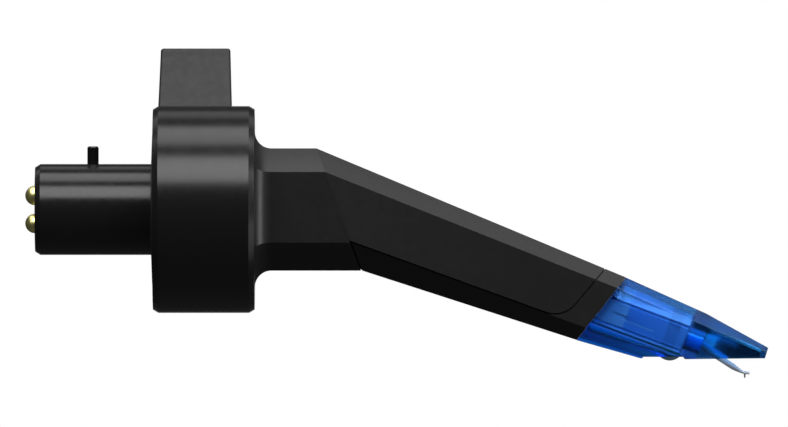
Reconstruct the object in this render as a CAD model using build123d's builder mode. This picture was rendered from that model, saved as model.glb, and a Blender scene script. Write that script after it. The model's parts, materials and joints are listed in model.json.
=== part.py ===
from build123d import *
import os
from math import cos, radians, sin, sqrt, tan

os.makedirs("parts", exist_ok=True)

# An integrated turntable pickup: plug, collar, cranked arm, generator and pull-off stylus.
# Frame: the origin is the centre of the collar's rear face, on the plug's axis.
# +X runs forward to the stylus, +Z is up, and the finger lift stands on the +Y side.
# Lengths are in millimetres and angles in degrees.

# Plug
plug_radius = 4.0
plug_bore_radius = 3.2
plug_length = 10.36
plug_seat_depth = 4.0
plug_chamfer_length = 0.46
plug_chamfer_height = 0.29
press_clearance = 0.02

# Bayonet pin
bayonet_x = -5.28
bayonet_radius = 0.5
bayonet_height = 1.56
bayonet_chamfer = 0.12

# Contacts
contact_radius = 0.86
contact_spacing = 2.46
contact_tail_radius = 0.4
contact_tail_length = 1.6
insert_length = 3.4
insert_setback = 0.25

# Collar and gasket
collar_radius = 9.1
collar_length = 8.93
collar_chamfer_length = 0.48
collar_chamfer_height = 0.28
gasket_radius = 6.64
gasket_depth = 0.8
gasket_rim_height = 0.07
gasket_crown_height = 0.17

# Finger lift
lift_angle = 45
lift_root_x = 0.21
lift_root_width = 6.79
lift_side_taper = 1.4
lift_straight = 18.62
lift_thickness = 1.2
lift_foot_depth = 2.2
lift_curl_radius = 2.4
lift_curl = 28
lift_corner_radius = 0.5
lift_edge_radius = 0.25

# Neck
neck_half_height = 5.37
neck_half_width = 5.2
neck_top_bevel = 2.08
neck_bottom_bevel = 2.47
neck_fillet = 1.5
wire_bore_radius = 3.2

# Arm
bend_x = 16.39
bend_lean = 20.5
top_fall = 22.63
top_edge_fall = 21.67
bottom_edge_fall = 19.97
bottom_fall = 17.92
joint_x = 41.54
joint_lean = 38.2
joint_half_width = 3.6
seam_setback = 1.8
seam_lean = 40.4
seam_corner_radius = 2.4
seam_gap = 0.12
seam_depth = 0.3
seam_roof_depth = 0.06

# Generator, measured along its own axis from the joint's centre
generator_fall = 20.4
nose_half_width = 1.6
nose_ridge_height = 1.1
nose_groove = 0.18
nose_top_rise = 1.9
nose_bevel = 40
nose_bottom_drop = 1.4
nose_reach = 7.75
nose_clearance = 0.1
nose_slot_ahead = 1.2
nose_slot_length = 1.55
nose_slot_height = 0.4
nose_slot_drop = 0.05
nose_waist_ahead = 5.95
nose_waist_length = 1.15
nose_relief = 0.12
nose_bore_radius = 0.92
nose_bore_depth = 3.4
can_half_width = 2.35
can_half_height = 2.25
can_corner_radius = 0.5
can_wall = 0.25
can_clearance = 0.05
can_length = 11.6
can_setback = 2.6
flange_thickness = 1.4
spine_half_width = 0.3
pole_width = 0.5
pole_height = 0.3
pole_offset_y = 1.15
pole_offset_z = 0.83
pole_nose_setback = 0.4
coil_width = 1.6
coil_height = 1.6
coil_corner_radius = 0.3
coil_clearance = 0.05
terminal_radius = 0.25
terminal_length = 1.4

# Lead wires
wire_radius = 0.25
wire_bend_radius = 5.0

# Stylus holder, lengths along X from the joint's top
holder_gap = 0.05
roof_length = 7.05
roof_fall = 24.2
nose_length = 5.49
nose_fall = 28.9
nose_face_height = 0.92
nose_face_rake = 0.3
nose_half_width_tip = 1.55
nose_edge_height = 0.4
ridge_radius = 0.35
keel_length = 7.04
keel_fall = 0.6
keel_step = 0.2
belly_rear_rise = 0.25
belly_flat_length = 3.55
lip_half_width = 1.7
hood_wall = 0.55
web_thickness = 1.5

# Locating stud under the holder
stud_radius = 0.865
stud_height = 0.34
stud_shank_radius = 0.4
stud_shank_length = 0.12
stud_setback = 1.2

# Suspension
sleeve_radius = 0.85
sleeve_bore_radius = 0.7
sleeve_end_wall = 0.35
sleeve_rear_reach = 2.9
sleeve_neck_length = 0.2
guard_radius = 1.35
guard_length = 1.2
guard_lift = 0.45
pivot_ahead = 0.9
damper_radius = 0.66
damper_length = 0.7
damper_hole_radius = 0.34
tie_wire_radius = 0.05
magnet_radius = 0.42
magnet_hole_radius = 0.3
magnet_length = 1.3
magnet_setback = 0.5

# Cantilever and diamond
cantilever_radius = 0.265
cantilever_bore_radius = 0.2
cantilever_root_overlap = 0.6
cantilever_knee_ahead = 0.55
cantilever_fall = 32.7
cantilever_bend_radius = 2.0
cantilever_tube_length = 3.5
cantilever_squeeze_length = 0.48
cantilever_squeeze_fall = 32.5
cantilever_sweep_length = 0.54
cantilever_sweep_fall = 25.2
cantilever_end_length = 0.53
cantilever_end_fall = 7.0
squeeze_half_thickness = 0.19
crimp_half_thickness = 0.125
crimp_half_width = 0.3
tip_radius = 0.08
tip_drop = 0.5
tip_cone_length = 0.16
tip_point_radius = 0.02
tip_setback = 0.42


def flat(a, b, c, inside):
    """Plane through three points, facing away from the inside point."""
    normal = (b - a).cross(c - a)
    if normal.dot(inside - a) > 0:
        normal = normal * -1
    return Plane(origin=a, x_dir=b - a, z_dir=normal)


def across(plane, x, z):
    """Y of the point of a plane that shows at (x, z) from the side."""
    normal = plane.z_dir
    start = plane.origin
    return start.Y - (normal.X * (x - start.X) + normal.Z * (z - start.Z)) / normal.Y


def side_point(point):
    """A point as the side view's own pair."""
    return (point.X, point.Z)


def half_form(profile, flats, half_width):
    """A symmetric body: a side profile, cut to its flats on one side and mirrored."""
    with BuildPart() as form:
        with BuildSketch(Plane.XZ):
            with BuildLine():
                Polyline(*[side_point(point) for point in profile], close=True)
            make_face()
        extrude(amount=half_width)
        for plane in flats:
            split(bisect_by=plane, keep=Keep.BOTTOM)
        mirror(about=Plane.XZ)
    return form.part


# Side view of the neck and arm: the four ridges start at the bend and end at the joint
core = Vector(bend_x, 0, 0)
top_edge = neck_half_height - neck_top_bevel
bottom_edge = neck_bottom_bevel - neck_half_height


def at_bend(level, half_width):
    """Near-side point of the bend at one height."""
    return Vector(bend_x - level * tan(radians(bend_lean)), -half_width, level)


bend_top = at_bend(neck_half_height, neck_half_width - neck_top_bevel)
bend_top_edge = at_bend(top_edge, neck_half_width)
bend_bottom_edge = at_bend(bottom_edge, neck_half_width)
bend_bottom = at_bend(-neck_half_height, neck_half_width - neck_bottom_bevel)

joint_z = neck_half_height - (joint_x - bend_top.X) * tan(radians(top_fall))
joint_slope = tan(radians(joint_lean))


def at_joint(start, fall, half_width):
    """Where a ridge that falls from its start meets the joint plane."""
    slope = tan(radians(fall))
    run = ((start.Z - joint_z) * joint_slope - start.X + joint_x) / (1 + slope * joint_slope)
    return Vector(start.X + run, -half_width, start.Z - run * slope)


joint_top_edge = at_joint(bend_top_edge, top_edge_fall, joint_half_width)
side_flat = flat(bend_top_edge, bend_bottom_edge, joint_top_edge, core)
joint_bottom_edge = at_joint(bend_bottom_edge, bottom_edge_fall, 0)
joint_bottom_edge.Y = across(side_flat, joint_bottom_edge.X, joint_bottom_edge.Z)
top_flat = flat(bend_top, bend_top_edge, joint_top_edge, core)
bottom_flat = flat(bend_bottom, bend_bottom_edge, joint_bottom_edge, core)
joint_top = at_joint(bend_top, top_fall, 0)
joint_top.Y = across(top_flat, joint_top.X, joint_top.Z)
joint_bottom = at_joint(bend_bottom, bottom_fall, 0)
joint_bottom.Y = across(bottom_flat, joint_bottom.X, joint_bottom.Z)

# The generator's axis leaves the centre of the joint
generator_lean = radians(generator_fall)
joint_centre = (joint_top + joint_bottom) * 0.5
joint_centre.Y = 0
axis_forward = Vector(cos(generator_lean), 0, -sin(generator_lean))
axis_up = Vector(sin(generator_lean), 0, cos(generator_lean))
generator_plane = Plane(origin=joint_centre, x_dir=(0, 1, 0), z_dir=axis_forward)
joint_normal = Vector(cos(radians(joint_lean)), 0, -sin(radians(joint_lean)))
crank_back = -joint_centre.Z / sin(generator_lean)
crank_x = joint_centre.X + joint_centre.Z / tan(generator_lean)
can_front = -can_setback
can_rear = can_front - can_length
channel_half_width = can_half_width + can_clearance
channel_half_height = can_half_height + can_clearance


def axis_point(ahead, up=0):
    """Side-view point ahead of the joint's centre along the generator's axis."""
    return joint_centre + axis_forward * ahead + axis_up * up


# Outer form of the collar, neck and arm
neck_rear = collar_length - neck_fillet
neck_profile = [
    Vector(neck_rear, 0, neck_half_height),
    bend_top,
    bend_bottom,
    Vector(neck_rear, 0, -neck_half_height),
]
neck_rearward = Vector(-1, 0, 0)
neck_flats = [
    flat(bend_top, bend_top_edge, bend_top + neck_rearward, core),
    flat(bend_bottom, bend_bottom_edge, bend_bottom + neck_rearward, core),
]
neck_form = half_form(neck_profile, neck_flats, neck_half_width)
arm_profile = [bend_top, joint_top, joint_bottom, bend_bottom]
arm_form = half_form(arm_profile, [side_flat, top_flat, bottom_flat], neck_half_width)

# Collar, neck and arm outside, with the neck's root fillet
with BuildPart() as outer:
    with BuildSketch(Plane.XZ):
        with BuildLine():
            Polyline(
                (0, 0),
                (0, collar_radius - collar_chamfer_height),
                (collar_chamfer_length, collar_radius),
                (collar_length - collar_chamfer_length, collar_radius),
                (collar_length, collar_radius - collar_chamfer_height),
                (collar_length, 0),
                close=True,
            )
        make_face()
    revolve(axis=Axis.X)
    add(neck_form)
    root = outer.edges().filter_by(GeomType.LINE).filter_by_position(Axis.X, collar_length, collar_length)
    fillet(root, radius=neck_fillet)
    add(arm_form)

# Everything below the seam belongs to the lower cover: the underside and the front ring
seam_shift = joint_normal * -seam_setback
seam_slope = tan(radians(seam_lean))
seam_top = joint_top + seam_shift + Vector(seam_slope, 0, 1) * neck_half_height
seam_fall = tan(radians(bottom_edge_fall))
seam_line_x = joint_x + seam_shift.X
seam_line_z = joint_z + seam_shift.Z
seam_run = (bend_bottom_edge.Z - seam_line_z) * seam_slope - bend_bottom_edge.X + seam_line_x
seam_run = seam_run / (1 + seam_fall * seam_slope)
seam_corner = Vector(bend_bottom_edge.X + seam_run, 0, bend_bottom_edge.Z - seam_run * seam_fall)
seam_far_top = seam_top + Vector(collar_radius, 0, 0)
seam_far_bottom = joint_bottom + Vector(collar_radius, 0, -neck_half_height)
seam_rear_bottom = bend_bottom + Vector(tan(radians(bend_lean)), 0, -1) * neck_half_height


def seam_region(grow):
    """Side-view region of the lower cover, pressed through the whole width."""
    with BuildPart() as region:
        with BuildSketch(Plane.XZ) as face:
            with BuildLine():
                Polyline(
                    side_point(bend_bottom_edge),
                    side_point(seam_corner),
                    side_point(seam_top),
                    side_point(seam_far_top),
                    side_point(seam_far_bottom),
                    side_point(seam_rear_bottom),
                    close=True,
                )
            make_face()
            corner = face.vertices().sort_by_distance(side_point(seam_corner))[0]
            fillet(corner, radius=seam_corner_radius)
            if grow > 0:
                offset(amount=grow, kind=Kind.INTERSECTION)
        extrude(amount=collar_radius, both=True)
    return region.part


def seam_step():
    """Step of the lower cover that closes the seam below its groove."""
    step_flats = [
        side_flat.offset(-seam_depth),
        top_flat.offset(-seam_depth),
        bottom_flat.offset(-seam_depth),
        flat(bend_top, joint_top, joint_top + Vector(0, 1, 0), core).offset(-seam_roof_depth),
        flat(bend_bottom, joint_bottom, joint_bottom + Vector(0, 1, 0), core).offset(-seam_roof_depth),
    ]
    rearward = Vector(-seam_corner_radius, 0, 0)
    step_profile = [bend_top + rearward, joint_top, joint_bottom, bend_bottom + rearward]
    with BuildPart() as step:
        add(half_form(step_profile, step_flats, neck_half_width))
        add(seam_region(seam_gap), mode=Mode.INTERSECT)
    return step.part


# Section of the generator's nose, a long octagon, and of the pocket that fits round it
nose_edge_rise = nose_ridge_height + nose_groove
nose_top_half = nose_half_width - (nose_top_rise - nose_edge_rise) * tan(radians(nose_bevel))
nose_bottom_half = nose_half_width - (nose_bottom_drop - nose_edge_rise) * tan(radians(nose_bevel))
with BuildSketch() as nose_section:
    with BuildLine():
        Polyline(
            (0, nose_top_rise),
            (nose_top_half, nose_top_rise),
            (nose_half_width, nose_edge_rise),
            (nose_half_width, -nose_edge_rise),
            (nose_bottom_half, -nose_bottom_drop),
            (0, -nose_bottom_drop),
            close=True,
        )
    make_face()
    mirror(about=Plane.YZ)
with BuildSketch() as pocket_section:
    add(nose_section.sketch)
    offset(amount=nose_clearance, kind=Kind.INTERSECTION)

# Channel for the generator, and the hole that its nose passes
with BuildPart() as channel:
    with BuildSketch(generator_plane.offset(-crank_back)):
        RectangleRounded(2 * channel_half_width, 2 * channel_half_height, can_corner_radius)
    extrude(amount=crank_back + can_front + can_clearance)
    with BuildSketch(generator_plane.offset(can_front)):
        add(pocket_section.sketch)
    extrude(amount=can_setback + nose_reach)

# Finger lift: a tapered tab that curls back at its tip
lift_up = Vector(0, sin(radians(lift_angle)), cos(radians(lift_angle)))
lift_face = Vector(0, -cos(radians(lift_angle)), sin(radians(lift_angle)))
lift_plane = Plane(origin=(0, 0, 0), x_dir=(1, 0, 0), z_dir=lift_face)
lift_foot = collar_radius - lift_foot_depth
lift_front_radius = lift_curl_radius + lift_thickness / 2
lift_back_radius = lift_curl_radius - lift_thickness / 2
lift_end = lift_straight + lift_front_radius * sin(radians(lift_curl))
lift_draw = (lift_end - lift_foot) * tan(radians(lift_side_taper))


def on_curl(radius, turn):
    """Point of the curled tip, ahead along the lift and out from its middle."""
    return (lift_straight + radius * sin(radians(turn)), radius * cos(radians(turn)) - lift_curl_radius)


front_start = on_curl(lift_front_radius, 0)
front_end = on_curl(lift_front_radius, lift_curl)
back_start = on_curl(lift_back_radius, 0)
back_end = on_curl(lift_back_radius, lift_curl)
front_foot = (lift_foot, lift_thickness / 2)
back_foot = (lift_foot, -lift_thickness / 2)
with BuildPart() as finger_lift:
    with BuildSketch(Plane(origin=(0, 0, 0), x_dir=lift_up, z_dir=(-1, 0, 0))):
        with BuildLine():
            Polyline(back_start, back_foot, front_foot, front_start)
            ThreePointArc(front_start, on_curl(lift_front_radius, lift_curl / 2), front_end)
            Line(front_end, back_end)
            ThreePointArc(back_end, on_curl(lift_back_radius, lift_curl / 2), back_start)
        make_face()
    extrude(amount=-(lift_root_x + lift_root_width))
    with BuildSketch(lift_plane) as lift_outline:
        with BuildLine():
            Polyline(
                (lift_root_x, lift_foot),
                (lift_root_x + lift_root_width, lift_foot),
                (lift_root_x + lift_root_width - lift_draw, lift_end),
                (lift_root_x + lift_draw, lift_end),
                close=True,
            )
        make_face()
        fillet(lift_outline.vertices().group_by(Axis.Y)[-1], radius=lift_corner_radius)
    extrude(amount=lift_curl_radius + lift_thickness, both=True, mode=Mode.INTERSECT)
    lift_foot_face = finger_lift.faces().sort_by(Axis((0, 0, 0), lift_up))[0]
    round_edges = [edge for edge in finger_lift.edges() if edge not in lift_foot_face.edges()]
    fillet(round_edges, radius=lift_edge_radius)
finger_lift.part.label = "finger_lift"
export_step(finger_lift.part, "parts/finger_lift.step")

# Upper housing: collar, neck and the arm's top and sides
with BuildPart() as upper_housing:
    add(outer.part)
    add(seam_region(seam_gap), mode=Mode.SUBTRACT)
    add(channel.part, mode=Mode.SUBTRACT)
    with BuildSketch(Plane.YZ):
        Circle(plug_radius + press_clearance)
    extrude(amount=plug_seat_depth, mode=Mode.SUBTRACT)
    with BuildSketch(Plane.YZ):
        Circle(gasket_radius + press_clearance)
    extrude(amount=gasket_depth, mode=Mode.SUBTRACT)
    with BuildSketch(Plane.YZ):
        Circle(wire_bore_radius)
    extrude(amount=crank_x + wire_bore_radius * tan(generator_lean), mode=Mode.SUBTRACT)
    with BuildSketch(lift_plane):
        with Locations((lift_root_x + lift_root_width / 2, collar_radius)):
            Rectangle(lift_root_width + 2 * press_clearance, 2 * (lift_foot_depth + press_clearance))
    extrude(amount=lift_thickness / 2 + press_clearance, both=True, mode=Mode.SUBTRACT)
upper_housing.part.label = "upper_housing"
export_step(upper_housing.part, "parts/upper_housing.step")

# Lower cover: the underside and the ring that the stylus holder seats on
with BuildPart() as lower_cover:
    add(arm_form)
    add(seam_region(0), mode=Mode.INTERSECT)
    add(seam_step())
    add(channel.part, mode=Mode.SUBTRACT)
lower_cover.part.label = "lower_cover"
export_step(lower_cover.part, "parts/lower_cover.step")

# Plug tube
with BuildPart() as connector_tube:
    with BuildSketch(Plane.XZ):
        with BuildLine():
            Polyline(
                (-plug_length, plug_bore_radius),
                (-plug_length, plug_radius - plug_chamfer_height),
                (-plug_length + plug_chamfer_length, plug_radius),
                (plug_seat_depth, plug_radius),
                (plug_seat_depth, plug_bore_radius),
                close=True,
            )
        make_face()
    revolve(axis=Axis.X)
    with BuildSketch(Plane.XY):
        with Locations((bayonet_x, 0)):
            Circle(bayonet_radius + press_clearance)
    extrude(amount=2 * plug_radius, mode=Mode.SUBTRACT)
connector_tube.part.label = "connector_tube"
export_step(connector_tube.part, "parts/connector_tube.step")

# Bayonet pin, pressed through the tube's wall
with BuildPart() as bayonet_pin:
    with BuildSketch(Plane.XY.offset(plug_bore_radius)):
        with Locations((bayonet_x, 0)):
            Circle(bayonet_radius)
    extrude(amount=plug_radius + bayonet_height - plug_bore_radius)
    chamfer(bayonet_pin.faces().sort_by(Axis.Z)[-1].edges(), length=bayonet_chamfer)
bayonet_pin.part.label = "bayonet_pin"
export_step(bayonet_pin.part, "parts/bayonet_pin.step")

# Gasket round the plug, gently coned and proud of the collar
with BuildPart() as gasket:
    with BuildSketch(Plane.XZ):
        with BuildLine():
            Polyline(
                (gasket_depth, plug_radius + press_clearance),
                (gasket_depth, gasket_radius),
                (-gasket_rim_height, gasket_radius),
                (-gasket_crown_height, plug_radius + press_clearance),
                close=True,
            )
        make_face()
    revolve(axis=Axis.X)
gasket.part.label = "gasket"
export_step(gasket.part, "parts/gasket.step")

# Insulating insert that holds the contacts
insert_rear = -plug_length + insert_setback
with BuildPart() as contact_insert:
    with BuildSketch(Plane.YZ.offset(insert_rear)):
        Circle(plug_bore_radius - press_clearance)
        with GridLocations(contact_spacing, contact_spacing, 2, 2):
            Circle(contact_radius + press_clearance, mode=Mode.SUBTRACT)
    extrude(amount=insert_length)
contact_insert.part.label = "contact_insert"
export_step(contact_insert.part, "parts/contact_insert.step")

# Four contacts with their leads: one set at each corner of a square
tail_end = insert_rear + insert_length + contact_tail_length
terminal_rear = can_rear - terminal_length
corners = GridLocations(contact_spacing, contact_spacing, 2, 2).locations
for number, corner in enumerate(corners, start=1):
    corner_y = corner.position.X
    corner_z = corner.position.Y
    contact_axis = Axis((0, corner_y, corner_z), (1, 0, 0))
    with BuildPart() as contact_pin:
        with BuildSketch(Plane((0, corner_y, 0), x_dir=(1, 0, 0), z_dir=(0, -1, 0))):
            with BuildLine():
                dome_tip = (-plug_length - contact_radius, corner_z)
                RadiusArc(dome_tip, (-plug_length, corner_z + contact_radius), contact_radius)
                Polyline(
                    (-plug_length, corner_z + contact_radius),
                    (insert_rear + insert_length, corner_z + contact_radius),
                    (insert_rear + insert_length, corner_z + contact_tail_radius),
                    (tail_end, corner_z + contact_tail_radius),
                    (tail_end, corner_z),
                    dome_tip,
                )
            make_face()
        revolve(axis=contact_axis)
    contact_pin.part.label = f"contact_pin_{number}"
    export_step(contact_pin.part, f"parts/contact_pin_{number}.step")

    crank = Vector(crank_x + corner_z * tan(generator_lean / 2), corner_y, corner_z)
    wire_end = axis_point(terminal_rear, corner_z) + Vector(0, corner_y, 0)
    with BuildPart() as lead_wire:
        with BuildLine() as route:
            FilletPolyline((tail_end, corner_y, corner_z), crank, wire_end, radius=wire_bend_radius)
        with BuildSketch(Plane((tail_end, corner_y, corner_z), x_dir=(0, 1, 0), z_dir=(1, 0, 0))):
            Circle(wire_radius)
        sweep(path=route.line)
    lead_wire.part.label = f"lead_wire_{number}"
    export_step(lead_wire.part, f"parts/lead_wire_{number}.step")

# Generator's former: the nose that the stylus plugs on to, and the coils' spool behind it
can_bore_width = 2 * (can_half_width - can_wall - can_clearance)
can_bore_height = 2 * (can_half_height - can_wall - can_clearance)
coil_length = can_length - 2 * flange_thickness
with BuildPart() as generator_body:
    with BuildSketch(generator_plane.offset(can_front - flange_thickness)):
        Rectangle(can_bore_width, can_bore_height)
    extrude(amount=flange_thickness)
    with BuildSketch(generator_plane.offset(can_rear)):
        Rectangle(can_bore_width, can_bore_height)
    extrude(amount=flange_thickness)
    with BuildSketch(generator_plane.offset(can_rear)):
        Rectangle(2 * spine_half_width, can_bore_height)
    extrude(amount=can_length)
    with BuildSketch(generator_plane.offset(can_front)):
        add(nose_section.sketch)
    extrude(amount=can_setback + nose_reach)
    with BuildSketch(generator_plane.offset(can_front)):
        with GridLocations(2 * nose_half_width, 2 * nose_ridge_height, 2, 2):
            Rectangle(nose_groove * sqrt(2), nose_groove * sqrt(2), rotation=45)
    extrude(amount=can_setback + nose_reach, mode=Mode.SUBTRACT)
    for side in (-1, 1):
        side_centre = joint_centre + Vector(0, side * nose_half_width, 0)
        with BuildSketch(Plane(side_centre, x_dir=axis_forward, z_dir=(0, side, 0))):
            with Locations((nose_slot_ahead + nose_slot_length / 2, side * nose_slot_drop)):
                Rectangle(nose_slot_length, nose_slot_height)
            with Locations((nose_waist_ahead + nose_waist_length / 2, 0)):
                Rectangle(nose_waist_length, 2 * (nose_ridge_height - nose_groove))
        extrude(amount=-nose_relief, mode=Mode.SUBTRACT)
    with BuildSketch(generator_plane.offset(can_rear)):
        with GridLocations(2 * pole_offset_y, 2 * pole_offset_z, 2, 2):
            Rectangle(pole_width + 2 * press_clearance, pole_height + 2 * press_clearance)
    extrude(amount=can_length + can_setback + nose_reach, mode=Mode.SUBTRACT)
    with BuildSketch(generator_plane.offset(nose_reach)):
        Circle(nose_bore_radius)
    extrude(amount=-nose_bore_depth, mode=Mode.SUBTRACT)
    with BuildSketch(generator_plane.offset(can_rear)):
        with GridLocations(contact_spacing, contact_spacing, 2, 2):
            Circle(terminal_radius + press_clearance)
    extrude(amount=flange_thickness, mode=Mode.SUBTRACT)
generator_body.part.label = "generator_body"
export_step(generator_body.part, "parts/generator_body.step")

# Screening can round the coils
with BuildPart() as shield_can:
    with BuildSketch(generator_plane.offset(can_rear)):
        RectangleRounded(2 * can_half_width, 2 * can_half_height, can_corner_radius)
        Rectangle(
            2 * (can_half_width - can_wall),
            2 * (can_half_height - can_wall),
            mode=Mode.SUBTRACT,
        )
    extrude(amount=can_length)
shield_can.part.label = "shield_can"
export_step(shield_can.part, "parts/shield_can.step")

# Four poles, each with its coil and terminal
pole_corners = GridLocations(2 * pole_offset_y, 2 * pole_offset_z, 2, 2).locations
pole_rear = can_rear + flange_thickness / 2
for number, (corner, pin_corner) in enumerate(zip(pole_corners, corners), start=1):
    place = (corner.position.X, corner.position.Y)
    with BuildPart() as pole:
        with BuildSketch(generator_plane.offset(pole_rear)):
            with Locations(place):
                Rectangle(pole_width, pole_height)
        extrude(amount=nose_reach - pole_nose_setback - pole_rear)
    pole.part.label = f"pole_{number}"
    export_step(pole.part, f"parts/pole_{number}.step")

    with BuildPart() as coil:
        with BuildSketch(generator_plane.offset(can_rear + flange_thickness + coil_clearance)):
            with Locations(place):
                RectangleRounded(coil_width, coil_height, coil_corner_radius)
                Rectangle(
                    pole_width + 2 * press_clearance,
                    pole_height + 2 * press_clearance,
                    mode=Mode.SUBTRACT,
                )
        extrude(amount=coil_length - 2 * coil_clearance)
    coil.part.label = f"coil_{number}"
    export_step(coil.part, f"parts/coil_{number}.step")

    with BuildPart() as terminal:
        with BuildSketch(generator_plane.offset(terminal_rear)):
            with Locations((pin_corner.position.X, pin_corner.position.Y)):
                Circle(terminal_radius)
        extrude(amount=terminal_length + flange_thickness)
    terminal.part.label = f"terminal_{number}"
    export_step(terminal.part, f"parts/terminal_{number}.step")

# Side view of the stylus holder
roof_bend = joint_top + Vector(roof_length, 0, -roof_length * tan(radians(roof_fall)))
nose_top = roof_bend + Vector(nose_length, 0, -nose_length * tan(radians(nose_fall)))
nose_foot = nose_top + Vector(-nose_face_rake, 0, -nose_face_height)
keel_rear = nose_foot + Vector(-keel_length, 0, -keel_length * tan(radians(keel_fall)))
belly_front = keel_rear + Vector(-keel_step / 2, 0, keel_step)
belly_rear = belly_front + Vector(-belly_flat_length, 0, 0)
seat_shift = joint_normal * holder_gap
holder_low = joint_bottom + Vector(joint_slope, 0, 1) * belly_rear_rise
holder_profile = [
    joint_top + seat_shift,
    roof_bend,
    nose_top,
    nose_foot,
    keel_rear,
    belly_front,
    belly_rear,
    holder_low + seat_shift,
]
holder_core = (joint_centre + nose_top) * 0.5
nose_edge = Vector(nose_top.X, -nose_half_width_tip, nose_top.Z - nose_edge_height)
holder_side = flat(joint_top_edge, joint_bottom_edge, nose_edge, holder_core)
holder_roof = flat(joint_top, joint_top_edge, nose_edge, holder_core)
belly_edge = Vector(belly_front.X, across(holder_side, belly_front.X, belly_front.Z), belly_front.Z)
holder_belly = flat(joint_bottom, joint_bottom_edge, belly_edge, holder_core)
holder_form = half_form(holder_profile, [holder_side, holder_roof, holder_belly], neck_half_width)

# Inside of the hood: the same profile and flats, set in by the hood's wall
web_front = nose_reach + nose_clearance + web_thickness
hood_low = nose_foot - Vector(0, 0, nose_face_height)
hood_profile = [
    axis_point(web_front, neck_half_height),
    nose_top + Vector(0, 0, neck_half_height),
    hood_low,
    axis_point(web_front, -neck_half_height),
]
hood_flats = [
    holder_side.offset(-hood_wall),
    holder_roof.offset(-hood_wall),
    flat(roof_bend, nose_top, nose_top + Vector(0, 1, 0), holder_core).offset(-hood_wall),
    flat(joint_top, roof_bend, roof_bend + Vector(0, 1, 0), holder_core).offset(-hood_wall),
    flat(nose_top, nose_foot, nose_foot + Vector(0, 1, 0), holder_core).offset(-hood_wall),
]
hood_form = half_form(hood_profile, hood_flats, neck_half_width)

# Stylus holder: translucent moulding that slides over the generator's nose
stud_place = Vector(belly_front.X - stud_setback, 0, belly_front.Z)
lip_front = belly_rear + Vector(0, 0, -keel_step)
with BuildPart() as stylus_holder:
    add(holder_form)
    ridge_middle = (joint_top_edge + nose_edge) * 0.5
    far_ridge_middle = Vector(ridge_middle.X, -ridge_middle.Y, ridge_middle.Z)
    ridge = stylus_holder.edges().sort_by_distance(ridge_middle)[0]
    far_ridge = stylus_holder.edges().sort_by_distance(far_ridge_middle)[0]
    fillet([ridge, far_ridge], radius=ridge_radius)
    with BuildSketch(Plane.XZ) as lip:
        with BuildLine():
            Polyline(
                side_point(joint_bottom + seat_shift),
                side_point(lip_front),
                side_point(belly_rear + Vector(0, 0, keel_step)),
                side_point(holder_low + seat_shift),
                close=True,
            )
        make_face()
        lip_corner = lip.vertices().sort_by_distance(side_point(lip_front))[0]
        fillet(lip_corner, radius=keel_step)
    extrude(amount=lip_half_width, both=True)
    add(hood_form, mode=Mode.SUBTRACT)
    with BuildSketch(generator_plane.offset(-can_setback)):
        add(pocket_section.sketch)
    extrude(amount=can_setback + nose_reach + nose_clearance, mode=Mode.SUBTRACT)
    with BuildSketch(generator_plane.offset(nose_reach)):
        Circle(sleeve_radius + press_clearance)
    extrude(amount=web_front - nose_reach, mode=Mode.SUBTRACT)
    with BuildSketch(Plane(stud_place, x_dir=(1, 0, 0), z_dir=(0, 0, 1))):
        Circle(stud_shank_radius + press_clearance)
    extrude(amount=stud_shank_length, mode=Mode.SUBTRACT)
stylus_holder.part.label = "stylus_holder"
export_step(stylus_holder.part, "parts/stylus_holder.step")

# Locating stud with a domed head
stud_axis = Axis(stud_place, (0, 0, 1))
with BuildPart() as locating_stud:
    with BuildSketch(Plane.XZ):
        with BuildLine():
            stud_low = (stud_place.X, stud_place.Z - stud_height)
            stud_rim = (stud_place.X + stud_radius, stud_place.Z)
            SagittaArc(stud_low, stud_rim, -stud_height / 4)
            Polyline(
                stud_rim,
                (stud_place.X + stud_shank_radius, stud_place.Z),
                (stud_place.X + stud_shank_radius, stud_place.Z + stud_shank_length),
                (stud_place.X, stud_place.Z + stud_shank_length),
                stud_low,
            )
        make_face()
    revolve(axis=stud_axis)
locating_stud.part.label = "locating_stud"
export_step(locating_stud.part, "parts/locating_stud.step")

# Suspension sleeve: a metal cup through the holder's web, closed behind round the tie wire.
# Ahead of the web only its upper half goes on, as a guard over the cantilever.
sleeve_rear = nose_reach - sleeve_rear_reach
guard_rear = web_front + sleeve_neck_length
guard_front = guard_rear + guard_length
guard_steps = [(web_front, sleeve_radius, sleeve_neck_length), (guard_rear, guard_radius, guard_length)]
with BuildPart() as suspension_sleeve:
    with BuildSketch(generator_plane.offset(sleeve_rear)):
        Circle(sleeve_radius)
    extrude(amount=web_front - sleeve_rear)
    for start, radius, length in guard_steps:
        with BuildSketch(generator_plane.offset(start)):
            Circle(radius)
            with Locations((0, guard_lift)):
                Rectangle(2 * radius, radius, align=(Align.CENTER, Align.MIN), mode=Mode.INTERSECT)
        extrude(amount=length)
    with BuildSketch(generator_plane.offset(sleeve_rear + sleeve_end_wall)):
        Circle(sleeve_bore_radius)
    extrude(amount=guard_front - sleeve_rear - sleeve_end_wall, mode=Mode.SUBTRACT)
    with BuildSketch(generator_plane.offset(sleeve_rear)):
        Circle(tie_wire_radius + press_clearance)
    extrude(amount=sleeve_end_wall, mode=Mode.SUBTRACT)
suspension_sleeve.part.label = "suspension_sleeve"
export_step(suspension_sleeve.part, "parts/suspension_sleeve.step")

# Tie wire from the sleeve's rear wall to the pivot
pivot = nose_reach + nose_clearance + pivot_ahead
with BuildPart() as tie_wire:
    with BuildSketch(generator_plane.offset(sleeve_rear)):
        Circle(tie_wire_radius)
    extrude(amount=pivot - sleeve_rear)
tie_wire.part.label = "tie_wire"
export_step(tie_wire.part, "parts/tie_wire.step")

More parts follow.
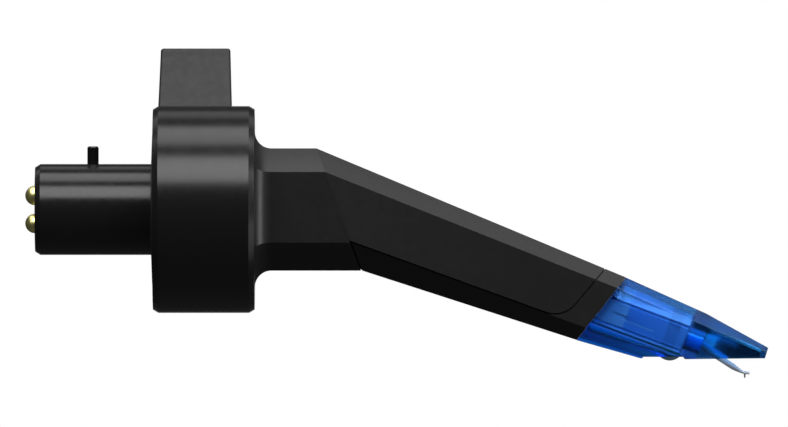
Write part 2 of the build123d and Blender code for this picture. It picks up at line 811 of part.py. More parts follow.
# Rubber damper: a ball-sided ring centred on the pivot
pivot_plane = Plane(origin=axis_point(pivot), x_dir=axis_forward, z_dir=(0, -1, 0))
pivot_axis = Axis(axis_point(pivot), axis_forward)
damper_shoulder = (damper_radius**2 - (damper_length / 2) ** 2) ** 0.5
with BuildPart() as damper:
    with BuildSketch(pivot_plane):
        with BuildLine():
            damper_rear = (-damper_length / 2, damper_shoulder)
            damper_front = (damper_length / 2, damper_shoulder)
            ThreePointArc(damper_rear, (0, damper_radius), damper_front)
            Polyline(
                damper_front,
                (damper_length / 2, damper_hole_radius),
                (-damper_length / 2, damper_hole_radius),
                damper_rear,
            )
        make_face()
    revolve(axis=pivot_axis)
damper.part.label = "damper"
export_step(damper.part, "parts/damper.step")

# Magnet on the cantilever's root
magnet_front = pivot - magnet_setback
with BuildPart() as magnet:
    with BuildSketch(generator_plane.offset(magnet_front - magnet_length)):
        Circle(magnet_radius)
        Circle(magnet_hole_radius, mode=Mode.SUBTRACT)
    extrude(amount=magnet_length)
magnet.part.label = "magnet"
export_step(magnet.part, "parts/magnet.step")


def falling(start, length, fall):
    """Point reached from a start along a side-view slope."""
    return start + Vector(length * cos(radians(fall)), 0, -length * sin(radians(fall)))


def slope_plane(point, fall):
    """Section plane square to a side-view slope."""
    return Plane(point, x_dir=(0, 1, 0), z_dir=(cos(radians(fall)), 0, -sin(radians(fall))))


# Cantilever: a fine tube, cranked ahead of the damper and crimped flat at its end
root_point = axis_point(magnet_front - cantilever_root_overlap)
knee = axis_point(pivot + cantilever_knee_ahead)
tube_end = falling(knee, cantilever_tube_length, cantilever_fall)
squeeze_end = falling(tube_end, cantilever_squeeze_length, cantilever_squeeze_fall)
crimp_start = falling(squeeze_end, cantilever_sweep_length, cantilever_sweep_fall)
free_end = falling(crimp_start, cantilever_end_length, cantilever_end_fall)
tip_top = falling(crimp_start, cantilever_end_length - tip_setback, cantilever_end_fall)
with BuildPart() as cantilever:
    with BuildLine() as tube_route:
        FilletPolyline(root_point, knee, tube_end, radius=cantilever_bend_radius)
    with BuildSketch(generator_plane.offset(magnet_front - cantilever_root_overlap)):
        Circle(cantilever_radius)
        Circle(cantilever_bore_radius, mode=Mode.SUBTRACT)
    sweep(path=tube_route.line)
    with BuildSketch(slope_plane(tube_end, cantilever_fall)):
        Circle(cantilever_radius)
    with BuildSketch(slope_plane(squeeze_end, (cantilever_squeeze_fall + cantilever_sweep_fall) / 2)):
        Ellipse(crimp_half_width, squeeze_half_thickness)
    with BuildSketch(slope_plane(crimp_start, (cantilever_sweep_fall + cantilever_end_fall) / 2)):
        Ellipse(crimp_half_width, crimp_half_thickness)
    loft()
    with BuildSketch(slope_plane(crimp_start, (cantilever_sweep_fall + cantilever_end_fall) / 2)):
        Ellipse(crimp_half_width, crimp_half_thickness)
    with BuildSketch(slope_plane(free_end, cantilever_end_fall)):
        Ellipse(crimp_half_width, crimp_half_thickness)
    loft(ruled=True)
    with BuildSketch(Plane(tip_top - Vector(0, 0, neck_half_height), x_dir=(1, 0, 0), z_dir=(0, 0, 1))):
        Circle(tip_radius + press_clearance)
    extrude(amount=2 * neck_half_height, mode=Mode.SUBTRACT)
cantilever.part.label = "cantilever"
export_step(cantilever.part, "parts/cantilever.step")

# Diamond: a shank through the crimp, ground to a cone
with BuildPart() as stylus_tip:
    with BuildSketch(Plane.XZ):
        with BuildLine():
            Polyline(
                (tip_top.X, tip_top.Z + crimp_half_thickness),
                (tip_top.X + tip_radius, tip_top.Z + crimp_half_thickness),
                (tip_top.X + tip_radius, tip_top.Z - tip_drop + tip_cone_length),
                (tip_top.X + tip_point_radius, tip_top.Z - tip_drop),
                (tip_top.X, tip_top.Z - tip_drop),
                close=True,
            )
        make_face()
    revolve(axis=Axis(tip_top, (0, 0, 1)))
stylus_tip.part.label = "stylus_tip"
export_step(stylus_tip.part, "parts/stylus_tip.step")
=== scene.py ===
import bpy
import json
from math import cos, pi, radians, sin, tan
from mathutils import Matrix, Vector

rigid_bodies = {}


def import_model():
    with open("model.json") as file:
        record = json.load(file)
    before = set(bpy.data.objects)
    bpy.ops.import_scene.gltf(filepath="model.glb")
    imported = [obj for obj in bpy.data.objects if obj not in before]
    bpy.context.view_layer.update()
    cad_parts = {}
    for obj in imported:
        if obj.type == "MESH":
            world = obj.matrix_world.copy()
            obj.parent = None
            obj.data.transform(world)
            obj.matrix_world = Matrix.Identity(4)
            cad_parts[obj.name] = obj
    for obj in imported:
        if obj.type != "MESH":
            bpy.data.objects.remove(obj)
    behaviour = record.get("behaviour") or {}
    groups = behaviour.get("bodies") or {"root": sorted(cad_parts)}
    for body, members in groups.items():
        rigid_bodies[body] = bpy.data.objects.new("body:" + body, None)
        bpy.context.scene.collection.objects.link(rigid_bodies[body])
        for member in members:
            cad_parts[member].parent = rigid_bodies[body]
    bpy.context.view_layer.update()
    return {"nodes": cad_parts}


# Looks of the turntable pickup: black moulded arm, turned plug, gilt contacts and a clear blue stylus.
# Lengths are in metres unless a name ends in _MM. Angles are in degrees.

for spare in list(bpy.data.objects):
    bpy.data.objects.remove(spare)
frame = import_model()
nodes = frame["nodes"]
scene = bpy.context.scene
scene.view_settings.view_transform = "Standard"

MM = 0.001


def mm(*lengths):
    """Lengths in millimetres, as metres."""
    return tuple(length * MM for length in lengths)


def grey(value):
    """Colour without a hue."""
    return (value, value, value)


# Directions and the object's origin
ORIGIN = Vector((0, 0, 0))
FORWARD = Vector((1, 0, 0))
ACROSS = Vector((0, 1, 0))
UP = Vector((0, 0, 1))

# Camera: a long lens from the -Y side, about level with the plug's axis
FRAME_WIDTH = 69.3 * MM
AIM = Vector((21.19 * MM, 0, -0.35 * MM))
LENS_MM = 850
SENSOR_MM = 36
CAMERA_FAR = 10

# Lamps and floor
LIGHT_RANGE = 0.45
STRIP_LENGTH = 0.8
FLOOR_DROP = 2.6
FLOOR_HALF = 2.6
FLOOR_PALE = 0.8
FLOOR_ROUGHNESS = 0.9

# Surround: brightness of the room and its far wall, and the Y parts of the directions where
# the wall grows and where the white backdrop starts
DIM = 0.04
WALL_BRIGHTNESS = 0.22
WALL_START = 0.3
WALL_END = 0.8
BACKDROP_EDGE = 0.97

# Moulded plastic and rubber: sizes of the grain in gloss, tone and surface, and how far the tone varies
GLOSS_GRAIN = 0.6 * MM
TONE_GRAIN = 1.5 * MM
MOULD_GRAIN = 0.12 * MM
MOULD_DEPTH = 0.001 * MM
MOULD_STRENGTH = 0.4
LIGHTER = 1.25
LIGHTEST = 0.92
PLASTIC_SPECULAR = 0.36

# Black of the housing and of turned pieces, and how much duller the arm's top is
BLACK = grey(0.0038)
TURNED_BLACK = grey(0.006)
TOP_DULLING = 0.12

# Tints of the blue moulding, named after what lies behind them; the seat, hood, nose and wedge tints are
# painted shade, and the band, rear, edge, line, streak, sleeve, guard and needle tints are painted light
WINDOW_BLUE = (0.34, 0.68, 1.0)
LIT_BAND_BLUE = (0.5, 0.68, 1.0)
SEAT_SHADE_BLUE = (0.03, 0.06, 0.14)
BLOCK_SEAT_SHADE_BLUE = (0.42, 0.64, 0.78)
REAR_LIGHT_BLUE = (0.6, 0.82, 1.0)
EDGE_HIGHLIGHT_BLUE = (0.5, 0.85, 1.0)
BLOCK_BLUE = (0.32, 0.66, 1.0)
BLOCK_REAR_LIGHT_BLUE = (0.56, 0.9, 1.0)
LINE_HIGHLIGHT_BLUE = (0.6, 0.95, 1.0)
LOW_BLUE = (0.015, 0.34, 0.52)
UNDER_BLUE = (0.006, 0.28, 0.42)
LIP_BLUE = (0.007, 0.14, 0.36)
HOOD_SHADE_BLUE = (0.05, 0.2, 0.4)
WEDGE_SHADE_BLUE = (0.003, 0.04, 0.07)
STREAK_LIGHT_BLUE = (0.05, 0.3, 0.65)
NOSE_SHADE_BLUE = (0.015, 0.1, 0.19)
SLEEVE_LIGHT_BLUE = (0.03, 0.42, 1.0)
GUARD_LIGHT_BLUE = (0.11, 0.6, 1.0)
NEEDLE_LIGHT_BLUE = (0.045, 0.42, 1.0)
ROOF_BLUE = (0.13, 0.53, 0.76)
NOSE_ROOF_BLUE = (0.02, 0.38, 0.92)

# Body of the blue moulding
GLINT_BLUE = (0.32, 0.66, 1.0)
VOLUME_BLUE = (0.05, 0.4, 0.995)
VOLUME_DENSITY = 330
BLUE_IOR = 1.47
BLUE_SPECULAR = 0.05
CLEAR_ROUGHNESS = 0.16
HOOD_ROUGHNESS = 0.24
NOSE_ROOF_ROUGHNESS = 0.44

DIAMOND_IOR = 2.42

# Places on the object that the looks are measured from
COLLAR_FRONT = 8.93 * MM
COLLAR_SOFT = 0.02 * MM
BEND_RIDGE = Vector((15.16, 0, 3.29)) * MM
ARM_RIDGE_FALL = 21.67
JOINT_CENTRE = Vector((39.375, 0, -8.702)) * MM
GENERATOR_FALL = 20.4
JOINT_LEAN = 38.2
JOINT_TOP_EDGE = Vector((40.796, 0, -6.896)) * MM
RIDGE_FALL = 23.06
NEEDLE_ROOT = Vector((49.37, 0, -12.49)) * MM
NEEDLE_FALL = 32.7

# Housing: where its satin changes, forward of the origin, and where its top dulls, above the ridge
SATIN_CHANGE = mm(14, 36)
TOP_RISE = mm(0.4, 1.9)

# Soft steps of the blue moulding's tint: past the joint, ahead of its centre, above it and above the ridge
SEAT_SHADE_END = mm(0.3, 0.85)
BLOCK_SEAT_SHADE_END = mm(0.2, 0.8)
REAR_LIGHT_END = mm(2.2, 2.4)
HOOD_START = mm(7.75, 8.05)
NOSE_ROOF_START = mm(7.6, 8.6)
NOSE_SHADE_START = mm(10.4, 12.0)
LIP_TOP = mm(-2.5, -2.4)
UNDER_TOP = mm(-1.95, -1.8)
LOW_TOP = mm(-1.68, -1.48)
BAND_FOOT = mm(1.1, 1.25)
ROOF_EDGE = mm(-0.1, 0.1)

# Zones of tint: ends ahead of the joint's centre, ends above it or above the needle, and softness; all but
# the block's zone paint light or shade on the moulding and the block
BLOCK_ZONE = mm(-2.0, 7.5), mm(-0.98, 1.1), 0.06 * MM
EDGE_HIGHLIGHT_ZONE = mm(0, 7.6), mm(-1.5, -1.15), 0.1 * MM
LINE_HIGHLIGHT_ZONE = mm(1.0, 5.0), mm(-0.33, -0.21), 0.04 * MM
WEDGE_SHADE_ZONE = mm(8.0, 9.8), mm(1.2, 2.1), 0.2 * MM
STREAK_LIGHT_ZONE = mm(10.2, 12.4), mm(1.0, 1.45), 0.4 * MM
SLEEVE_LIGHT_ZONE = mm(8.0, 9.4), mm(-0.5, 1.15), 0.15 * MM
GUARD_LIGHT_ZONE = mm(9.4, 10.5), mm(0.2, 1.2), 0.2 * MM
NEEDLE_LIGHT_ZONE = mm(9.3, 12.0), mm(-0.25, 0.25), 0.15 * MM
SLOT_SHADE_ZONE = mm(0.9, 2.3), mm(0.04, 0.13), 0.03 * MM
WAIST_SHADE_BAND = mm(5.95, 7.1), 0.05 * MM


def make_camera():
    """Long lens square to the side, so that the picture has almost no perspective."""
    data = bpy.data.cameras.new("camera")
    data.sensor_width = SENSOR_MM
    data.lens = LENS_MM
    data.clip_end = CAMERA_FAR
    camera = bpy.data.objects.new("camera", data)
    scene.collection.objects.link(camera)
    camera.location = AIM - Vector((0, FRAME_WIDTH * LENS_MM / SENSOR_MM, 0))
    camera.rotation_euler = (pi / 2, 0, 0)
    scene.camera = camera


def softbox(name, place, turn, length, width, radiance):
    """Rectangular lamp of an even brightness, unseen by the camera itself."""
    lamp = bpy.data.lights.new(name, "AREA")
    lamp.shape = "RECTANGLE"
    lamp.size = length
    lamp.size_y = width
    lamp.energy = radiance * pi * length * width
    obj = bpy.data.objects.new(name, lamp)
    scene.collection.objects.link(obj)
    obj.location = AIM + place
    obj.rotation_euler = turn
    obj.visible_camera = False


def overhead_strip(name, elevation, angle, radiance):
    """Strip lamp along the object; elevation 0 is the camera's side and 90 straight above."""
    turn = radians(elevation)
    place = Vector((0, -cos(turn), sin(turn))) * LIGHT_RANGE
    width = 2 * LIGHT_RANGE * tan(radians(angle / 2))
    softbox(name, place, (pi / 2 - turn, 0, 0), STRIP_LENGTH, width, radiance)


def side_box(name, azimuth, elevation, length, width, radiance):
    """Upright lamp beside the object; azimuth 0 is the camera's side and 90 the nose's."""
    turn = radians(azimuth)
    rise = radians(elevation)
    place = Vector((sin(turn) * cos(rise), -cos(turn) * cos(rise), sin(rise))) * LIGHT_RANGE
    softbox(name, place, (-place).to_track_quat("-Z", "Y").to_euler(), length, width, radiance)


def combine(tree, operation, first, second):
    """One step of arithmetic on two values."""
    step = tree.nodes.new("ShaderNodeMath")
    step.operation = operation
    tree.links.new(first, step.inputs[0])
    tree.links.new(second, step.inputs[1])
    return step.outputs[0]


def make_world():
    """White all round to the camera, a white backdrop behind to metal and glass, and a dim room."""
    world = bpy.data.worlds.new("studio")
    scene.world = world
    world.use_nodes = True
    tree = world.node_tree
    ray = tree.nodes.new("ShaderNodeLightPath").outputs
    toward = tree.nodes.new("ShaderNodeSeparateXYZ")
    direction = tree.nodes.new("ShaderNodeTexCoord").outputs["Generated"]
    tree.links.new(direction, toward.inputs["Vector"])
    backdrop = tree.nodes.new("ShaderNodeMapRange")
    backdrop.inputs["From Min"].default_value = BACKDROP_EDGE
    tree.links.new(toward.outputs["Y"], backdrop.inputs["Value"])
    wall = tree.nodes.new("ShaderNodeMapRange")
    wall.inputs["From Min"].default_value = WALL_START
    wall.inputs["From Max"].default_value = WALL_END
    wall.inputs["To Max"].default_value = WALL_BRIGHTNESS
    tree.links.new(toward.outputs["Y"], wall.inputs["Value"])
    through = combine(tree, "MULTIPLY", wall.outputs["Result"], ray["Is Transmission Ray"])
    shown = combine(tree, "MAXIMUM", ray["Is Glossy Ray"], ray["Is Transmission Ray"])
    shown = combine(tree, "MULTIPLY", shown, backdrop.outputs["Result"])
    shown = combine(tree, "MAXIMUM", shown, through)
    shown = combine(tree, "MAXIMUM", shown, ray["Is Camera Ray"])
    mix = tree.nodes.new("ShaderNodeMix")
    mix.data_type = "RGBA"
    mix.inputs["A"].default_value = (*grey(DIM), 1)
    mix.inputs["B"].default_value = (*grey(1), 1)
    tree.links.new(shown, mix.inputs["Factor"])
    tree.links.new(mix.outputs["Result"], tree.nodes["Background"].inputs["Color"])


def floor_pale():
    """Pale floor that is as bright to the camera as its colour, and clear from underneath."""
    look = Look("floor_pale", grey(FLOOR_PALE), FLOOR_ROUGHNESS)
    ray = look.tree.nodes.new("ShaderNodeLightPath").outputs
    look.set("Emission Color", (*grey(FLOOR_PALE), 1))
    look.feed(ray["Is Camera Ray"], "Emission Strength")
    seen = look.tree.nodes.new("ShaderNodeMath")
    seen.operation = "SUBTRACT"
    seen.inputs[0].default_value = 1
    look.link(look.tree.nodes.new("ShaderNodeNewGeometry").outputs["Backfacing"], seen.inputs[1])
    look.feed(seen.outputs[0], "Alpha")
    return look.material


def make_floor():
    """Square floor well below the object."""
    sides = [(-1, -1), (1, -1), (1, 1), (-1, 1)]
    corners = [(FLOOR_HALF * x, FLOOR_HALF * y, -FLOOR_DROP) for x, y in sides]
    mesh = bpy.data.meshes.new("floor")
    mesh.from_pydata(corners, [], [(0, 1, 2, 3)])
    floor = bpy.data.objects.new("floor", mesh)
    scene.collection.objects.link(floor)
    mesh.materials.append(floor_pale())


def make_studio():
    """Three strips overhead, a box beyond the nose, a dim low one, a pale floor and a white surround."""
    overhead_strip("front_strip", elevation=45.5, angle=30, radiance=5.5)
    overhead_strip("top_strip", elevation=90.5, angle=28, radiance=3.3)
    overhead_strip("back_strip", elevation=131, angle=18, radiance=0.6)
    side_box("nose_box", azimuth=80, elevation=8, length=0.18, width=0.4, radiance=6.3)
    side_box("low_box", azimuth=50, elevation=-28, length=0.3, width=0.3, radiance=1.1)
    make_floor()
    make_world()


class Look:
    """A material with one Principled shader, its plain values, and short ways to vary them."""

    def __init__(self, name, colour, roughness, metallic=0.0):
        self.material = bpy.data.materials.new(name)
        self.material.use_nodes = True
        self.tree = self.material.node_tree
        self.shader = self.tree.nodes["Principled BSDF"]
        self.set("Base Color", (*colour, 1))
        self.set("Roughness", roughness)
        self.set("Metallic", metallic)

    def set(self, socket, value):
        self.shader.inputs[socket].default_value = value

    def link(self, source, target):
        self.tree.links.new(source, target)

    def feed(self, source, socket):
        self.link(source, self.shader.inputs[socket])

    def place(self):
        return self.tree.nodes.new("ShaderNodeTexCoord").outputs["Object"]

    def along(self, origin, direction):
        """Distance of a point from an origin along a direction."""
        moved = self.tree.nodes.new("ShaderNodeVectorMath")
        moved.operation = "SUBTRACT"
        moved.inputs[1].default_value = origin
        self.link(self.place(), moved.inputs[0])
        reach = self.tree.nodes.new("ShaderNodeVectorMath")
        reach.operation = "DOT_PRODUCT"
        reach.inputs[1].default_value = direction
        self.link(moved.outputs["Vector"], reach.inputs[0])
        return reach.outputs["Value"]

    def noise(self, size, detail=2.0, stretch=(1, 1, 1)):
        """Noise whose features are about that size."""
        scaled = self.tree.nodes.new("ShaderNodeMapping")
        scaled.inputs["Scale"].default_value = stretch
        self.link(self.place(), scaled.inputs["Vector"])
        texture = self.tree.nodes.new("ShaderNodeTexNoise")
        texture.inputs["Scale"].default_value = 1 / size
        texture.inputs["Detail"].default_value = detail
        self.link(scaled.outputs["Vector"], texture.inputs["Vector"])
        return texture.outputs["Fac"]

    def spread(self, source, low, high, start=0.3, end=0.7):
        """Maps a value between start and end onto a range, and holds it outside."""
        ranged = self.tree.nodes.new("ShaderNodeMapRange")
        ranged.interpolation_type = "SMOOTHSTEP"
        ranged.inputs["From Min"].default_value = start
        ranged.inputs["From Max"].default_value = end
        ranged.inputs["To Min"].default_value = low
        ranged.inputs["To Max"].default_value = high
        self.link(source, ranged.inputs["Value"])
        return ranged.outputs["Result"]

    def after(self, source, ends):
        """Rises from 0 to 1 between two ends."""
        return self.spread(source, 0, 1, *ends)

    def before(self, source, ends):
        """Falls from 1 to 0 between two ends."""
        return self.spread(source, 1, 0, *ends)

    def mix(self, factor, first, second):
        """Mixes two values by a third."""
        mixed = self.tree.nodes.new("ShaderNodeMix")
        self.link(factor, mixed.inputs["Factor"])
        self.link(first, mixed.inputs["A"])
        self.link(second, mixed.inputs["B"])
        return mixed.outputs["Result"]

    def blend(self, factor, first, second):
        """Mixes two colours by a value; either may come from other nodes."""
        mixed = self.tree.nodes.new("ShaderNodeMix")
        mixed.data_type = "RGBA"
        self.link(factor, mixed.inputs["Factor"])
        for colour, socket in ((first, "A"), (second, "B")):
            if isinstance(colour, tuple):
                mixed.inputs[socket].default_value = (*colour, 1)
            else:
                self.link(colour, mixed.inputs[socket])
        return mixed.outputs["Result"]

    def ripple(self, source, pitch):
        """Waves from 0 to 1 along a distance."""
        wave = source
        for operation, second in (("MULTIPLY", 2 * pi / pitch), ("SINE", 0)):
            step = self.tree.nodes.new("ShaderNodeMath")
            step.operation = operation
            step.inputs[1].default_value = second
            self.link(wave, step.inputs[0])
            wave = step.outputs[0]
        return self.after(wave, (-1, 1))

    def band(self, source, ends, soft):
        """1 where a value lies between two ends, with soft edges."""
        first, last = ends
        rise = self.after(source, (first - soft, first + soft))
        fall = self.before(source, (last - soft, last + soft))
        return combine(self.tree, "MULTIPLY", rise, fall)

    def zone(self, first, second, first_ends, second_ends, soft):
        """1 where two values both lie between their ends."""
        across = self.band(first, first_ends, soft)
        return combine(self.tree, "MULTIPLY", across, self.band(second, second_ends, soft))

    def gloss(self, source, low, high):
        """Roughness that follows a value."""
        self.feed(self.spread(source, low, high), "Roughness")

    def tone(self, source, first, second):
        """Base colour that follows a value."""
        self.feed(self.blend(source, first, second), "Base Color")

    def bump(self, source, height, strength=1.0):
        """Fine relief that follows a value."""
        bump = self.tree.nodes.new("ShaderNodeBump")
        bump.inputs["Strength"].default_value = strength
        bump.inputs["Distance"].default_value = height
        self.link(source, bump.inputs["Height"])
        self.feed(bump.outputs["Normal"], "Normal")


def falling(fall):
    """Direction that falls forward at an angle, and the one square to it that points up."""
    lean = radians(fall)
    return Vector((cos(lean), 0, -sin(lean))), Vector((sin(lean), 0, cos(lean)))


def plastic(name, colour, roughness):
    """Plastic or rubber with the fine relief of its mould."""
    look = Look(name, colour, roughness)
    look.bump(look.noise(MOULD_GRAIN), MOULD_DEPTH, MOULD_STRENGTH)
    look.set("Specular IOR Level", PLASTIC_SPECULAR)
    return look


def moulded(name, colour, low, high):
    """Moulded plastic or rubber whose roughness runs from low to high and whose tone varies a little."""
    look = plastic(name, colour, (low + high) / 2)
    lighter = tuple(min(channel * LIGHTER, LIGHTEST) for channel in colour)
    look.gloss(look.noise(GLOSS_GRAIN), low, high)
    look.tone(look.noise(TONE_GRAIN), colour, lighter)
    return look.material


def housing_black():
    """The housing: satin arm and neck, duller on top, and a smoother turned collar."""
    look = plastic("housing_black", BLACK, roughness=0.44)
    forward = look.along(ORIGIN, FORWARD)
    arm = look.after(forward, (COLLAR_FRONT - COLLAR_SOFT, COLLAR_FRONT + COLLAR_SOFT))
    front = look.after(forward, SATIN_CHANGE)
    grain = look.noise(GLOSS_GRAIN)
    turned = look.spread(grain, low=0.22, high=0.25)
    rear_satin = look.spread(grain, low=0.41, high=0.44)
    front_satin = look.spread(grain, low=0.37, high=0.39)
    over_neck = look.along(BEND_RIDGE, UP)
    over_arm = look.along(BEND_RIDGE, falling(ARM_RIDGE_FALL)[1])
    over_ridge = combine(look.tree, "MAXIMUM", over_neck, over_arm)
    dull = look.spread(over_ridge, 0, TOP_DULLING, *TOP_RISE)
    satin = combine(look.tree, "ADD", look.mix(front, rear_satin, front_satin), dull)
    look.feed(look.mix(arm, turned, satin), "Roughness")
    look.tone(arm, TURNED_BLACK, BLACK)
    return look.material


def wall_tint(look, ahead, above):
    """Tint round the generator's block: pale beside it and deeper below it, with painted light (a paler
    lit band, a lighter rear, a light edge line and a light slot line) and painted shade at the seat on the
    joint.
    """
    past_joint = look.along(JOINT_CENTRE, falling(JOINT_LEAN)[0])
    # Paler tint over the lit band, and lighter tints at the rear where the seat ring shades the block:
    # painted light.
    rear = look.before(ahead, REAR_LIGHT_END)
    over_band = look.blend(rear, LIT_BAND_BLUE, REAR_LIGHT_BLUE)
    # Darker next to the joint over the band: painted shade of the black seat ring.
    over_band = look.blend(look.before(past_joint, SEAT_SHADE_END), over_band, SEAT_SHADE_BLUE)
    over_block = look.blend(rear, BLOCK_BLUE, BLOCK_REAR_LIGHT_BLUE)
    # Darker next to the joint over the block: painted shade of the black seat ring.
    over_block = look.blend(look.before(past_joint, BLOCK_SEAT_SHADE_END), over_block, BLOCK_SEAT_SHADE_BLUE)
    tint = look.blend(look.after(above, BAND_FOOT), WINDOW_BLUE, over_band)
    tint = look.blend(look.zone(ahead, above, *BLOCK_ZONE), tint, over_block)
    # Light line along the block's lower edge: painted highlight.
    tint = look.blend(look.zone(ahead, above, *EDGE_HIGHLIGHT_ZONE), tint, EDGE_HIGHLIGHT_BLUE)
    # Light line along the slot in the block: painted highlight.
    tint = look.blend(look.zone(ahead, above, *LINE_HIGHLIGHT_ZONE), tint, LINE_HIGHLIGHT_BLUE)
    tint = look.blend(look.before(above, LOW_TOP), tint, LOW_BLUE)
    tint = look.blend(look.before(above, UNDER_TOP), tint, UNDER_BLUE)
    return look.blend(look.before(above, LIP_TOP), tint, LIP_BLUE)


def hood_tint(look, ahead, above, hood, tint):
    """Adds the hooded nose: deep tints there as painted shade, a light streak as a painted highlight, and
    clearer tints over the suspension and the root of the needle that paint in the light on them.
    """
    over_needle = look.along(NEEDLE_ROOT, falling(NEEDLE_FALL)[1])
    # Deeper tints in the hood, the nose and the wedge: painted shade of the hood's dark inside.
    tint = look.blend(hood, tint, HOOD_SHADE_BLUE)
    tint = look.blend(look.after(ahead, NOSE_SHADE_START), tint, NOSE_SHADE_BLUE)
    tint = look.blend(look.zone(ahead, above, *WEDGE_SHADE_ZONE), tint, WEDGE_SHADE_BLUE)
    # Lighter streak in the nose below the ridge: painted highlight.
    tint = look.blend(look.zone(ahead, above, *STREAK_LIGHT_ZONE), tint, STREAK_LIGHT_BLUE)
    # Clearer over the sleeve, the guard and the needle's root: painted light on them.
    tint = look.blend(look.zone(ahead, above, *SLEEVE_LIGHT_ZONE), tint, SLEEVE_LIGHT_BLUE)
    tint = look.blend(look.zone(ahead, above, *GUARD_LIGHT_ZONE), tint, GUARD_LIGHT_BLUE)
    return look.blend(look.zone(ahead, over_needle, *NEEDLE_LIGHT_ZONE), tint, NEEDLE_LIGHT_BLUE)


def blue_volume(look):
    """Blue that deepens with the thickness of the wall."""
    absorb = look.tree.nodes.new("ShaderNodeVolumeAbsorption")
    absorb.inputs["Color"].default_value = (*VOLUME_BLUE, 1)
    absorb.inputs["Density"].default_value = VOLUME_DENSITY
    look.link(absorb.outputs["Volume"], look.tree.nodes["Material Output"].inputs["Volume"])


def clear_blue():
    """Clear blue moulding, frosted towards the nose, whose tint changes from place to place to paint in
    light and shade.
    """
    look = Look("clear_blue", WINDOW_BLUE, CLEAR_ROUGHNESS)
    forward, upward = falling(GENERATOR_FALL)
    ahead = look.along(JOINT_CENTRE, forward)
    above = look.along(JOINT_CENTRE, upward)
    over_ridge = look.along(JOINT_TOP_EDGE, falling(RIDGE_FALL)[1])
    hood = look.after(ahead, HOOD_START)
    roof = look.after(over_ridge, ROOF_EDGE)
    nose_roof = look.after(ahead, NOSE_ROOF_START)
    side_tint = hood_tint(look, ahead, above, hood, wall_tint(look, ahead, above))
    roof_tint = look.blend(nose_roof, ROOF_BLUE, NOSE_ROOF_BLUE)
    look.tone(roof, side_tint, roof_tint)
    side_frost = look.spread(hood, CLEAR_ROUGHNESS, HOOD_ROUGHNESS, 0, 1)
    roof_frost = look.spread(nose_roof, CLEAR_ROUGHNESS, NOSE_ROOF_ROUGHNESS, 0, 1)
    look.feed(look.mix(roof, side_frost, roof_frost), "Roughness")
    look.set("Transmission Weight", 1.0)
    look.set("IOR", BLUE_IOR)
    look.set("Specular IOR Level", BLUE_SPECULAR)
    look.set("Specular Tint", (*GLINT_BLUE, 1))
    blue_volume(look)
    return look.material


def former_grey():
    """Pale blue-grey block in the stylus, with painted light on its rear, painted shade in its waist and a
    painted shade line along its slot.
    """
    plain, dark, light = (0.52, 0.66, 0.87), (0.5, 0.64, 0.85), (0.54, 0.68, 0.89)
    rear_lit_grey, waist_shade_grey, slot_shade_grey = (0.56, 0.71, 0.92), (0.41, 0.52, 0.7), (0.26, 0.34, 0.45)
    look = Look("former_grey", plain, roughness=0.45)
    forward, upward = falling(GENERATOR_FALL)
    ahead = look.along(JOINT_CENTRE, forward)
    above = look.along(JOINT_CENTRE, upward)
    tone = look.blend(look.noise(size=1.2 * MM), dark, light)
    # Lighter rear: painted light where the seat ring shades the block; darker waist and slot line: painted
    # shade in the relief.
    tone = look.blend(look.before(ahead, REAR_LIGHT_END), tone, rear_lit_grey)
    tone = look.blend(look.band(ahead, *WAIST_SHADE_BAND), tone, waist_shade_grey)
    look.tone(look.zone(ahead, above, *SLOT_SHADE_ZONE), tone, slot_shade_grey)
    look.gloss(look.noise(size=0.3 * MM), low=0.4, high=0.55)
    look.bump(look.noise(size=0.05 * MM), height=0.002 * MM, strength=0.4)
    return look.material


def cantilever_alloy():
    """Light anodised tube with a dull skin, drawn lengthwise."""
    plain, dark, light = (0.93, 0.95, 0.98), (0.9, 0.93, 0.97), (0.95, 0.97, 0.99)
    look = Look("cantilever_alloy", plain, roughness=0.5)
    drawn = look.noise(size=0.05 * MM, stretch=(0.15, 1, 1))
    look.gloss(drawn, low=0.45, high=0.55)
    look.tone(drawn, dark, light)
    look.set("Specular IOR Level", 1.0)
    return look.material


def contact_gold():
    """Bright gilding over a turned pin."""
    plain, pale, deep = (0.95, 0.88, 0.35), (0.96, 0.9, 0.4), (0.94, 0.86, 0.32)
    look = Look("contact_gold", plain, roughness=0.3, metallic=1.0)
    rings = look.ripple(look.along(ORIGIN, FORWARD), pitch=0.08 * MM)
    worn = look.noise(size=0.4 * MM)
    look.gloss(worn, low=0.32, high=0.4)
    look.tone(worn, pale, deep)
    look.bump(rings, height=0.0006 * MM, strength=0.5)
    return look.material


def coil_copper():
    """Lacquered wire wound turn by turn along the generator's axis, with painted shade between the turns.
    """
    plain, shaded_gap, wire = (0.72, 0.3, 0.12), (0.25, 0.07, 0.02), (0.8, 0.36, 0.16)
    look = Look("coil_copper", plain, roughness=0.35, metallic=1.0)
    turns = look.ripple(look.along(JOINT_CENTRE, falling(GENERATOR_FALL)[0]), pitch=0.12 * MM)
    # Darker between the turns: painted shade.
    look.tone(turns, shaded_gap, wire)
    look.gloss(look.noise(size=0.2 * MM), low=0.25, high=0.45)
    look.bump(turns, height=0.04 * MM)
    return look.material


def pole_steel():
    """Thin steel sheets stacked side by side, with dull cut edges."""
    look = Look("pole_steel", grey(0.5), roughness=0.35, metallic=1.0)
    sheets = look.ripple(look.along(ORIGIN, ACROSS), pitch=0.1 * MM)
    look.tone(sheets, grey(0.3), grey(0.6))
    look.gloss(look.noise(size=0.1 * MM), low=0.3, high=0.5)
    return look.material


def brushed(name, dark, light, low, high):
    """Metal brushed or drawn lengthwise, whose roughness runs from low to high."""
    look = Look(name, light, (low + high) / 2, metallic=1.0)
    hairs = look.noise(size=0.06 * MM, detail=3.0, stretch=(0.08, 1, 1))
    look.gloss(hairs, low, high)
    look.tone(hairs, dark, light)
    look.bump(hairs, height=0.001 * MM, strength=0.5)
    return look.material


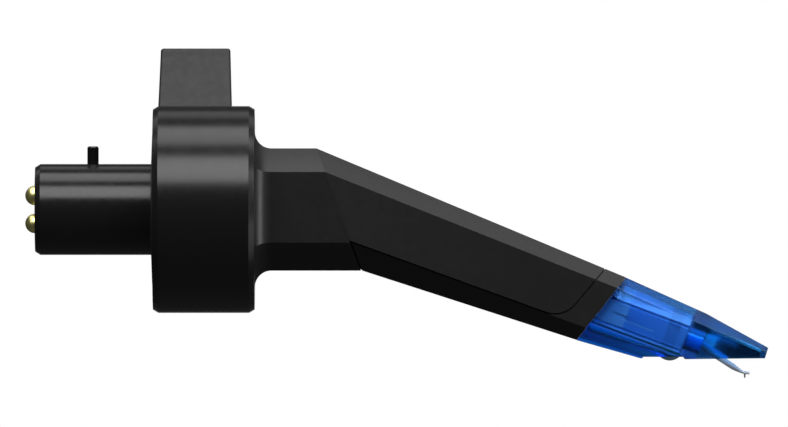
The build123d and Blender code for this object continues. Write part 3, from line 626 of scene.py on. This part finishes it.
def magnet_metal():
    """Sintered magnet: dark grains in a grey metal."""
    plain, dark, light = (0.4, 0.4, 0.42), (0.22, 0.22, 0.23), (0.46, 0.46, 0.48)
    look = Look("magnet_metal", plain, roughness=0.4, metallic=1.0)
    grains = look.noise(size=0.03 * MM, detail=4.0)
    look.tone(look.spread(grains, 0, 1), dark, light)
    look.gloss(grains, low=0.5, high=0.3)
    return look.material


def diamond():
    """Polished grey stone with strong reflections."""
    plain, dark, light = (0.12, 0.12, 0.13), (0.08, 0.08, 0.09), (0.2, 0.2, 0.21)
    look = Look("diamond", plain, roughness=0.06)
    clouds = look.noise(size=0.05 * MM)
    look.tone(clouds, dark, light)
    look.gloss(clouds, low=0.03, high=0.1)
    look.set("IOR", DIAMOND_IOR)
    return look.material


def insulation(name, colour):
    """Glossy sleeve of a lead wire."""
    return moulded(name, colour, low=0.3, high=0.4)


make_camera()
make_studio()
materials = {
    "housing_black": housing_black(),
    "lift_black": moulded("lift_black", BLACK, low=0.42, high=0.5),
    "plug_black": moulded("plug_black", TURNED_BLACK, low=0.2, high=0.24),
    "pin_black": moulded("pin_black", BLACK, low=0.12, high=0.16),
    "gasket_rubber": moulded("gasket_rubber", grey(0.01), low=0.5, high=0.6),
    "insulator": moulded("insulator", grey(0.02), low=0.5, high=0.6),
    "contact_gold": contact_gold(),
    "former_grey": former_grey(),
    "screen_steel": brushed("screen_steel", grey(0.5), grey(0.66), low=0.25, high=0.45),
    "pole_steel": pole_steel(),
    "coil_copper": coil_copper(),
    "lead_red": insulation("lead_red", (0.5, 0.02, 0.02)),
    "lead_green": insulation("lead_green", (0.02, 0.3, 0.05)),
    "lead_white": insulation("lead_white", (0.6, 0.6, 0.58)),
    "lead_blue": insulation("lead_blue", (0.02, 0.08, 0.4)),
    "clear_blue": clear_blue(),
    "stud_steel": brushed("stud_steel", (0.3, 0.5, 0.62), (0.4, 0.62, 0.72), low=0.5, high=0.65),
    "sleeve_metal": moulded("sleeve_metal", grey(0.92), low=0.5, high=0.6),
    "wire_steel": brushed("wire_steel", grey(0.45), grey(0.65), low=0.2, high=0.4),
    "damper_rubber": moulded("damper_rubber", grey(0.02), low=0.6, high=0.75),
    "magnet_metal": magnet_metal(),
    "cantilever_alloy": cantilever_alloy(),
    "diamond": diamond(),
}
for node in nodes.values():
    slot = node.material_slots[0]
    slot.material = materials[slot.material.name]
